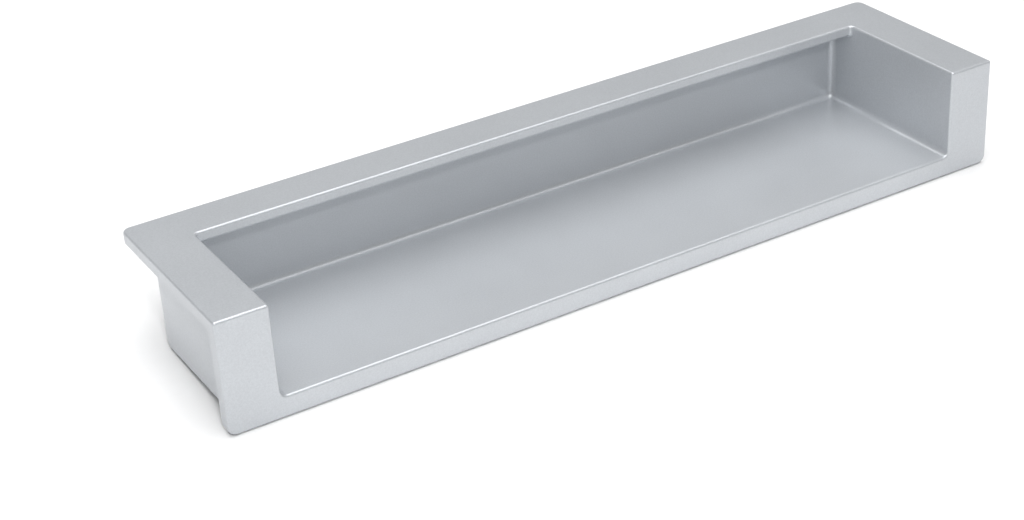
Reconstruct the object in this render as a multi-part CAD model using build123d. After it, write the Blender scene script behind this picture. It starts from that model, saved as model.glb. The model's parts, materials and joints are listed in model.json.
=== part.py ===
from build123d import *
import math
import os

# Recessed pull handle, one zinc die casting, in millimetres.
#
# It is let into the edge of a panel, such as a drawer front. The face flange lies on the
# panel's face and the edge flange hangs over its edge. Between them the recess is open to
# both sides, and the fingers hook behind a lip. +Z points out of the panel's face, which is
# the way the handle is pulled, and -Y points out of its edge. The origin is midway between
# the two screw holes, on the plane of their mouths.

# Flanges
length = 173.0               # both flanges, along X
face_reach = 41.5            # face flange, from the handle's front to its rear edge
edge_reach = 23.0            # edge flange, from the handle's top to its bottom edge
face_thickness = 2.3
edge_thickness = 2.6
corner_radius = 1.8          # free corners of both flanges
edge_radius = 0.5            # every edge that shows when the handle is fitted

# Body, the block behind the flanges that sinks into the panel
body_depth = 18.2            # below the face flange
end_reveal = 2.0             # flanges past the body, at each end
rear_reveal = 2.4            # face flange past the body, at the rear
body_corner_radius = 10.0    # upright rear corners, to suit a routed pocket
body_edge_radius = 0.5       # bottom edges

# Recess
arm_width = 10.4             # flange left at each end of the opening
lip_width = 10.0             # face flange left behind the opening
undercut = 5.9               # how far the recess reaches back under the lip
sill_height = 4.3            # edge flange left below the opening
recess_corner_radius = 1.6   # upright corners at the back
floor_radius = 1.3           # where the walls meet the floor
lip_edge_radius = 0.6        # lower edge of the lip, where the fingers pull
lip_root_radius = 0.8        # where the lip meets the end walls and the back wall

# Screw holes, tapped M4, one in each end block
hole_spacing = 160.0
hole_from_edge = 18.0        # from the plane of the panel's edge
hole_diameter = 4.1          # at the root of the thread
hole_depth = 14.0            # full diameter, before the drill's cone
hole_chamfer = 0.5
drill_angle = 118.0
boss_diameter = 7.8

# Cores that hollow the end blocks from below, round the bosses
core_wall = 1.8
core_corner_radius = 0.8
core_draft = 1.0             # degrees

# Planes of the handle, worked out from the sizes
top = body_depth + face_thickness
bottom = top - edge_reach
panel_edge = -hole_from_edge
front = panel_edge - edge_thickness
rear = front + face_reach
body_rear = rear - rear_reveal
body_end = length / 2 - end_reveal
recess_end = length / 2 - arm_width
recess_floor = bottom + sill_height
lip_front = rear - lip_width
recess_rear = lip_front + undercut

overrun = 2.0                # how far a cutting shape runs past an open side
tolerance = 1e-4


def block(y_low, y_high, half_width, z_low, z_high):
    """Plain block between two planes each way, centred on X = 0."""
    size = (2 * half_width, y_high - y_low, z_high - z_low)
    centre = (0, (y_low + y_high) / 2, (z_low + z_high) / 2)
    return Pos(*centre) * Box(*size)


def pocket_plan(y_low, y_high, half_width, rear_radius):
    """Rectangle on the XY plane with its two rear corners rounded."""
    outline = Pos(0, (y_low + y_high) / 2) * Rectangle(2 * half_width, y_high - y_low)
    return fillet(outline.vertices().group_by(Axis.Y)[-1], rear_radius)


def flanges():
    """Face flange and edge flange: an angle section with its free corners rounded."""
    section = Polygon(
        (front, bottom),
        (panel_edge, bottom),
        (panel_edge, body_depth),
        (rear, body_depth),
        (rear, top),
        (front, top),
        align=None,
    )
    angle = extrude(Plane.YZ * section, length / 2, both=True)
    rear_corners = angle.edges().filter_by(Axis.Z).group_by(Axis.Y)[-1]
    lower_corners = angle.edges().filter_by(Axis.Y).group_by(Axis.Z)[0]
    return fillet(rear_corners + lower_corners, corner_radius)


def body():
    """Block that fills the panel's pocket. Its front end is buried in the edge flange."""
    buried = panel_edge - edge_thickness / 2
    solid = extrude(pocket_plan(buried, body_rear, body_end, body_corner_radius), body_depth)
    lower_edges = solid.faces().sort_by(Axis.Z)[0].edges().sort_by(Axis.Y)[1:]
    return fillet(lower_edges, body_edge_radius)


def recess():
    """The hollow for the fingers: a throat open above, and the pocket under the lip."""
    outer_side = front - overrun
    throat = block(outer_side, lip_front, recess_end, recess_floor, top + overrun)
    pocket = block(outer_side, recess_rear, recess_end, recess_floor, body_depth)
    hollow = throat + pocket
    rear_corners = hollow.edges().filter_by(Axis.Z).group_by(Axis.Y)[-1]
    hollow = fillet(rear_corners, recess_corner_radius)
    floor_edges = hollow.faces().sort_by(Axis.Z)[0].edges().sort_by(Axis.Y)[1:]
    hollow = fillet(floor_edges, floor_radius)
    hollow = fillet(hollow.edges().filter_by(is_lip_edge), lip_edge_radius)
    return fillet(hollow.edges().filter_by(is_lip_root), lip_root_radius)


def is_lip_edge(edge):
    """True for the lower front edge of the lip."""
    middle = edge.center()
    return abs(middle.Y - lip_front) < tolerance and abs(middle.Z - body_depth) < tolerance


def is_lip_root(edge):
    """True for an edge where the lip meets an end wall or the back wall."""
    middle = edge.center()
    in_end_wall = abs(middle.X) > recess_end - tolerance and middle.Y > lip_front - tolerance
    beside_lip = in_end_wall and body_depth - tolerance < middle.Z < top + overrun - tolerance
    under_lip = abs(middle.Z - body_depth) < tolerance
    return beside_lip or (under_lip and middle.Y > recess_rear - recess_corner_radius)


def end_cores():
    """Hollows in both end blocks, open below, with draft so that the cores can be drawn."""
    shell = pocket_plan(panel_edge, body_rear - core_wall, body_end - core_wall,
                        body_corner_radius - core_wall)
    inner_side = recess_end + core_wall
    end_block = Pos((inner_side + length) / 2, 0) * Rectangle(length - inner_side, length)
    outline = shell & end_block
    front_corners = outline.vertices().group_by(Axis.Y)[0]
    rear_corner = outline.vertices().sort_by(Axis.Y)[-1]
    outline = fillet(front_corners + [rear_corner], core_corner_radius)
    outline -= Pos(hole_spacing / 2, 0) * Circle(boss_diameter / 2)
    core = extrude(outline, body_depth, taper=core_draft)
    return core + mirror(core, Plane.YZ)


def screw_holes():
    """Blind drilled holes for the M4 thread, with a chamfered mouth and a drill point."""
    radius = hole_diameter / 2
    mouth_radius = radius + hole_chamfer
    point = hole_depth + radius / math.tan(math.radians(drill_angle / 2))
    section = Polygon(
        (0, -overrun),
        (mouth_radius, -overrun),
        (mouth_radius, 0),
        (radius, hole_chamfer),
        (radius, hole_depth),
        (0, point),
        align=None,
    )
    hole = revolve(Plane.XZ * section, Axis.Z)
    return Pos(hole_spacing / 2, 0) * hole + Pos(-hole_spacing / 2, 0) * hole


def shows(edge):
    """True for an edge that lies in the top face or in the front face."""
    box = edge.bounding_box()
    return box.min.Z > top - tolerance or box.max.Y < front + tolerance


handle = flanges() + body() - recess()
handle = fillet(handle.edges().filter_by(shows), edge_radius)
handle = handle - end_cores() - screw_holes()
handle.label = "pull_handle"

os.makedirs("parts", exist_ok=True)
export_step(handle, "parts/pull_handle.step")
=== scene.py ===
import bpy
import json
from math import atan2, pi, radians
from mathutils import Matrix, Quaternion, Vector


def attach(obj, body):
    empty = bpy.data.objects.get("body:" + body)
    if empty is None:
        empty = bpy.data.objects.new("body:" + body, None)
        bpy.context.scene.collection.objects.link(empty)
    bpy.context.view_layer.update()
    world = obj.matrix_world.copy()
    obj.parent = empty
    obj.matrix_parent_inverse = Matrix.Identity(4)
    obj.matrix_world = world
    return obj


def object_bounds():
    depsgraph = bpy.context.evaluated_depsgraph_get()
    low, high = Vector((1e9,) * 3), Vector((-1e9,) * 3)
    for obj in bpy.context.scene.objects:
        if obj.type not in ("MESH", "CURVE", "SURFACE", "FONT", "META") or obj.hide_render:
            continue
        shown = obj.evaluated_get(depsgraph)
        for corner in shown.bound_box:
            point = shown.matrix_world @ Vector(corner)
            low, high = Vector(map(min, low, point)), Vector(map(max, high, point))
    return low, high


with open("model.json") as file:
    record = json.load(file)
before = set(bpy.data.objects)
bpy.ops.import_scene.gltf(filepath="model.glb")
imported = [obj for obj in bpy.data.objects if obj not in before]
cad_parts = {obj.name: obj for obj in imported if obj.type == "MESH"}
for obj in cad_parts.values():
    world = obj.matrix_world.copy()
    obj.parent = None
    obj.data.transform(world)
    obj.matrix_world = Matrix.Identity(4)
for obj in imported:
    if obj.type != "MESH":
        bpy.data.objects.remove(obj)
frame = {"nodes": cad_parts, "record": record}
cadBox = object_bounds()
handle = frame["nodes"]["pull_handle"]
mounts = {mount["name"]: mount for mount in frame["record"]["mounts"]}
mm = 0.001
print("frame loaded")


# Shader sockets that take part in plain Python sums
class Wire:
    def __init__(self, sheet, socket):
        self.sheet = sheet
        self.socket = socket

    def math(self, operation, first, second):
        return self.sheet.node("ShaderNodeMath", {"operation": operation}, {0: first, 1: second})

    def __add__(self, other):
        return self.math("ADD", self, other)

    def __mul__(self, other):
        return self.math("MULTIPLY", self, other)

    __radd__ = __add__
    __rmul__ = __mul__


# One material's node sheet, and the one way nodes get on to it
class Finish:
    def __init__(self, name, look):
        self.material = bpy.data.materials.new(name)
        self.material.use_nodes = True
        self.nodes = self.material.node_tree.nodes
        self.links = self.material.node_tree.links
        self.shader = next(node for node in self.nodes if node.type == "BSDF_PRINCIPLED")
        self.set(self.shader, look)
        self.place = self.node("ShaderNodeTexCoord", {}, {}, "Object")

    def set(self, node, values):
        for key, value in values.items():
            if isinstance(value, Wire):
                self.links.new(value.socket, node.inputs[key])
            else:
                node.inputs[key].default_value = value

    def setStops(self, ramp, stops):
        for stop, (position, colour) in zip(ramp.elements, stops):
            stop.position = position
            stop.color = colour

    def node(self, kind, settings, values, output=0):
        made = self.nodes.new(kind)
        for key, value in settings.items():
            if key == "stops":
                self.setStops(made.color_ramp, value)
            else:
                setattr(made, key, value)
        self.set(made, values)
        return Wire(self, made.outputs[output])

    def speckle(self, size, detail=2.0, sharpness=0.5, at=None):
        values = {"Vector": at or self.place, "Scale": 1 / size, "Detail": detail, "Roughness": sharpness}
        return self.node("ShaderNodeTexNoise", {}, values)

    # inputs 6 and 7 are the two colours, and output 2 is what they mix to
    def blend(self, mask, first, second):
        values = {"Factor": mask, 6: first, 7: second}
        return self.node("ShaderNodeMix", {"data_type": "RGBA"}, values, 2)

    def relief(self, height, strength, depth, under=None):
        values = {"Height": height, "Strength": strength, "Distance": depth}
        if under:
            values["Normal"] = under
        return self.node("ShaderNodeBump", {}, values)


silverPaint = {
    "light": (0.610, 0.634, 0.662, 1),
    "dark": (0.485, 0.505, 0.530, 1),
    "metallic": 0.42,
    "roughness": 0.34,
    "roughnessSpread": 0.10,     # how far the roughness varies
    "flake": 0.30 * mm,          # grain of the metallic paint
    "flakeDetail": 3.0,
    "flakeSharpness": 0.65,
    "flakeStops": ((0.32, (0, 0, 0, 1)), (0.68, (1, 1, 1, 1))),
    "flakeDepth": 0.03 * mm,
    "peel": 1.3 * mm,            # slow waves left by the spray
    "peelDepth": 0.06 * mm,
    "relief": 0.10,              # strength of flake and peel alike
    "cloud": 22 * mm,            # drift of tone over the casting
    "cloudShare": 0.5,           # the flakes have the rest
}


def makeSilverPaint(look):
    paint = Finish("silver paint", {"Metallic": look["metallic"]})
    flake = paint.speckle(look["flake"], look["flakeDetail"], look["flakeSharpness"])
    peel = paint.speckle(look["peel"])
    cloud = paint.speckle(look["cloud"])
    grain = paint.node("ShaderNodeValToRGB", {"stops": look["flakeStops"]}, {0: flake})
    tone = grain * (1 - look["cloudShare"]) + cloud * look["cloudShare"]
    spread = look["roughnessSpread"]
    waves = paint.relief(peel, look["relief"], look["peelDepth"])
    paint.set(paint.shader, {
        "Base Color": paint.blend(tone, look["dark"], look["light"]),
        "Roughness": flake * spread + peel * spread + (look["roughness"] - spread),
        "Normal": paint.relief(flake, look["relief"], look["flakeDepth"], waves),
    })
    return paint.material


paint = makeSilverPaint(silverPaint)
for place in handle.material_slots:
    place.material = paint
print("casting painted")


cutZinc = {
    "light": (0.62, 0.63, 0.64, 1),
    "dark": (0.42, 0.43, 0.45, 1),
    "metallic": 0.9,
    "roughness": 0.30,
    "roughnessSpread": 0.2,
    "scratch": 0.12 * mm,
    "scratchDetail": 3.0,
    "scratchDepth": 0.02 * mm,
    "relief": 0.2,
    "squeeze": (1, 1, 6),        # scratches run round the hole, so they are short along it
}


def makeCutZinc(look):
    zinc = Finish("cut zinc", {"Metallic": look["metallic"]})
    stretch = zinc.node("ShaderNodeMapping", {}, {"Vector": zinc.place, "Scale": look["squeeze"]})
    scratch = zinc.speckle(look["scratch"], look["scratchDetail"], at=stretch)
    zinc.set(zinc.shader, {
        "Base Color": zinc.blend(scratch, look["dark"], look["light"]),
        "Roughness": scratch * look["roughnessSpread"] + look["roughness"],
        "Normal": zinc.relief(scratch, look["relief"], look["scratchDepth"]),
    })
    return zinc.material


# Crests of the M4 threads, which stand in from the drilled holes' walls
thread = {
    "pitch": 0.7 * mm,
    "crestRadius": 1.65 * mm,
    "buried": 0.08 * mm,         # how far the root runs into the wall
    "rootWidth": 0.64 * mm,
    "crestWidth": 0.12 * mm,
    "start": 0.75 * mm,          # above the mouth
    "turns": 16,
    "steps": 28,                 # to a turn
    "runOut": 1.01,              # the ends' crests, as a share of the wall's radius
    "seam": 0.01 * mm,           # how near the XZ plane the ends' vertices lie
    "merge": 0.001 * mm,
    "smooth": 25,                # degrees
}


def pick(obj, test):
    bpy.ops.object.mode_set(mode="EDIT")
    bpy.ops.mesh.select_mode(type="VERT")
    bpy.ops.mesh.select_all(action="DESELECT")
    bpy.ops.object.mode_set(mode="OBJECT")
    for vertex in obj.data.vertices:
        vertex.select = test(vertex.co)
    bpy.ops.object.mode_set(mode="EDIT")


# The tooth's outline, narrow towards the hole's middle
def drawTooth(name, sizes, outerRadius):
    depth = outerRadius - sizes["crestRadius"]
    bpy.ops.object.select_all(action="DESELECT")
    bpy.ops.mesh.primitive_plane_add(size=1, rotation=(pi / 2, 0, 0))
    tooth = bpy.context.object
    tooth.name = name
    bpy.ops.object.transform_apply(location=True, rotation=True, scale=True)

    bpy.ops.object.mode_set(mode="EDIT")
    bpy.ops.mesh.select_all(action="SELECT")
    bpy.ops.transform.resize(value=(depth, 1, sizes["rootWidth"]))
    pick(tooth, lambda at: at.x < 0)
    bpy.ops.transform.resize(value=(1, 1, sizes["crestWidth"] / sizes["rootWidth"]))
    bpy.ops.mesh.select_all(action="SELECT")
    bpy.ops.transform.translate(value=(outerRadius - depth / 2, 0, sizes["start"]))
    bpy.ops.mesh.delete(type="ONLY_FACE")
    bpy.ops.object.mode_set(mode="OBJECT")
    return tooth


def windTooth(tooth, sizes):
    turn = tooth.modifiers.new("turn", "SCREW")
    turn.axis = "Z"
    turn.angle = 2 * pi
    turn.screw_offset = sizes["pitch"]
    turn.iterations = sizes["turns"]
    turn.steps = turn.render_steps = sizes["steps"]
    bpy.ops.object.modifier_apply(modifier=turn.name)


# Both ends close, and run out into the wall
def closeEnds(crest, sizes, wallRadius):
    bottom = sizes["start"]
    top = bottom + sizes["pitch"] * sizes["turns"]

    def atAnEnd(at):
        onSeam = at.x > 0 and abs(at.y) < sizes["seam"]
        return onSeam and min(abs(at.z - bottom), abs(at.z - top)) < sizes["pitch"] / 2

    bpy.ops.object.mode_set(mode="EDIT")
    bpy.ops.mesh.select_all(action="SELECT")
    bpy.ops.mesh.remove_doubles(threshold=sizes["merge"])
    bpy.ops.mesh.fill_holes(sides=4)
    pick(crest, atAnEnd)
    out = wallRadius / sizes["crestRadius"] * sizes["runOut"]
    bpy.ops.transform.resize(value=(out, out, 1), center_override=(0, 0, 0))
    bpy.ops.mesh.select_all(action="SELECT")
    bpy.ops.mesh.normals_make_consistent(inside=False)
    bpy.ops.object.mode_set(mode="OBJECT")


def cutThread(name, sizes, wallRadius):
    crest = drawTooth(name, sizes, wallRadius + sizes["buried"])
    windTooth(crest, sizes)
    closeEnds(crest, sizes, wallRadius)
    return crest


def moveTo(obj, place, smoothAngle):
    bpy.ops.object.select_all(action="DESELECT")
    obj.select_set(True)
    bpy.context.view_layer.objects.active = obj
    obj.location = place
    bpy.ops.object.transform_apply(location=True, rotation=True, scale=True)
    bpy.ops.object.shade_smooth_by_angle(angle=radians(smoothAngle))


holes = mounts["fixing_holes"]
middle = Vector(holes["pos_m"])
halfSpacing = Vector((holes["dims"]["spacing_x_mm"] * mm / 2, 0, 0))
threadLeft = cutThread("thread_left", thread, holes["dims"]["hole_r_mm"] * mm)
threadRight = threadLeft.copy()
threadRight.name = "thread_right"
threadRight.data = threadLeft.data.copy()
bpy.context.collection.objects.link(threadRight)
zinc = makeCutZinc(cutZinc)
for crest, place in ((threadLeft, middle - halfSpacing), (threadRight, middle + halfSpacing)):
    moveTo(crest, place, thread["smooth"])
    crest.data.materials.append(zinc)
    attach(crest, "root")
print("threads cut")


# The casting lies on its back, on the edge flange's end and the body's rear edge
floorLook = {
    "side": 6.0,
    "colour": (0.92, 0.92, 0.92, 1),
    "shade": (0.90, 0.90, 0.90, 1),
    "fibre": 2.5 * mm,
    "roughness": 0.85,
    "gloss": 0.2,
    "touch": 0.05 * mm,          # how near its bottom the body's lowest edge is looked for
}


def layFloor(look):
    heel = Vector((0, mounts["panel_edge_seat"]["pos_m"][1], cadBox[0].z))
    bodyRear = max(v.co.y for v in handle.data.vertices if v.co.z < look["touch"])
    tilt = atan2(-heel.z, bodyRear - heel.y)
    bpy.ops.object.select_all(action="DESELECT")
    bpy.ops.mesh.primitive_plane_add(size=look["side"], location=heel, rotation=(tilt, 0, 0))
    floor = bpy.context.object
    floor.name = "floor"
    card = Finish("white card", {"Roughness": look["roughness"], "Specular IOR Level": look["gloss"]})
    fibre = card.speckle(look["fibre"])
    card.set(card.shader, {"Base Color": card.blend(fibre, look["shade"], look["colour"])})
    floor.data.materials.append(card.material)


layFloor(floorLook)
print("floor laid")


lamps = {
    "overhead": {"place": (-0.02, 0.03, 1.15), "aim": (0.03, 0, 0), "size": (1.6, 1.2), "power": 18.0},
    "key": {"place": (-0.20, -0.50, 0.45), "aim": (0, 0, 0), "size": (0.07, 0.07), "power": 1.15},
    "card": {"place": (-0.16, -0.36, 0.12), "aim": (-0.05, 0, 0.01), "size": (0.24, 0.18), "power": 0.09},
    "strip": {"place": (0.37, -0.42, 0.65), "aim": (0, 0, 0), "size": (0.50, 0.06), "power": 0.5},
}


def turnTowards(look):
    return (Vector(look["aim"]) - Vector(look["place"])).to_track_quat("-Z", "Y")


def hangLamp(name, look):
    data = bpy.data.lights.new(name, "AREA")
    data.shape = "RECTANGLE"
    data.size, data.size_y = look["size"]
    data.energy = look["power"]
    lamp = bpy.data.objects.new(name, data)
    lamp.location = look["place"]
    lamp.rotation_euler = turnTowards(look).to_euler()
    lamp.visible_camera = False
    bpy.context.collection.objects.link(lamp)


for name, look in lamps.items():
    hangLamp(name, look)
print("lamps hung")


surround = {"colour": (1.0, 1.0, 1.0, 1), "strength": 0.21}


def lightSurround(look):
    world = bpy.data.worlds.new("studio")
    world.use_nodes = True
    background = world.node_tree.nodes["Background"]
    background.inputs["Color"].default_value = look["colour"]
    background.inputs["Strength"].default_value = look["strength"]
    bpy.context.scene.world = world


lightSurround(surround)
bpy.context.scene.view_settings.view_transform = "Standard"
print("surround lit")


eye = {
    "place": (-0.18505, -0.29608, 0.19070),
    "aim": (-0.01698, -0.00034, -0.00007),
    "roll": -3.65,               # degrees, about the line of sight
    "lens": 70.67,
    "film": 36.0,
    "nearest": 0.01,
    "farthest": 20,
}


def setCamera(look):
    data = bpy.data.cameras.new("camera")
    data.lens = look["lens"]
    data.sensor_width = look["film"]
    data.clip_start = look["nearest"]
    data.clip_end = look["farthest"]
    camera = bpy.data.objects.new("camera", data)
    camera.location = look["place"]
    camera.rotation_mode = "QUATERNION"
    camera.rotation_quaternion = turnTowards(look) @ Quaternion((0, 0, 1), radians(look["roll"]))
    bpy.context.collection.objects.link(camera)
    bpy.context.scene.camera = camera


setCamera(eye)
print("camera set")
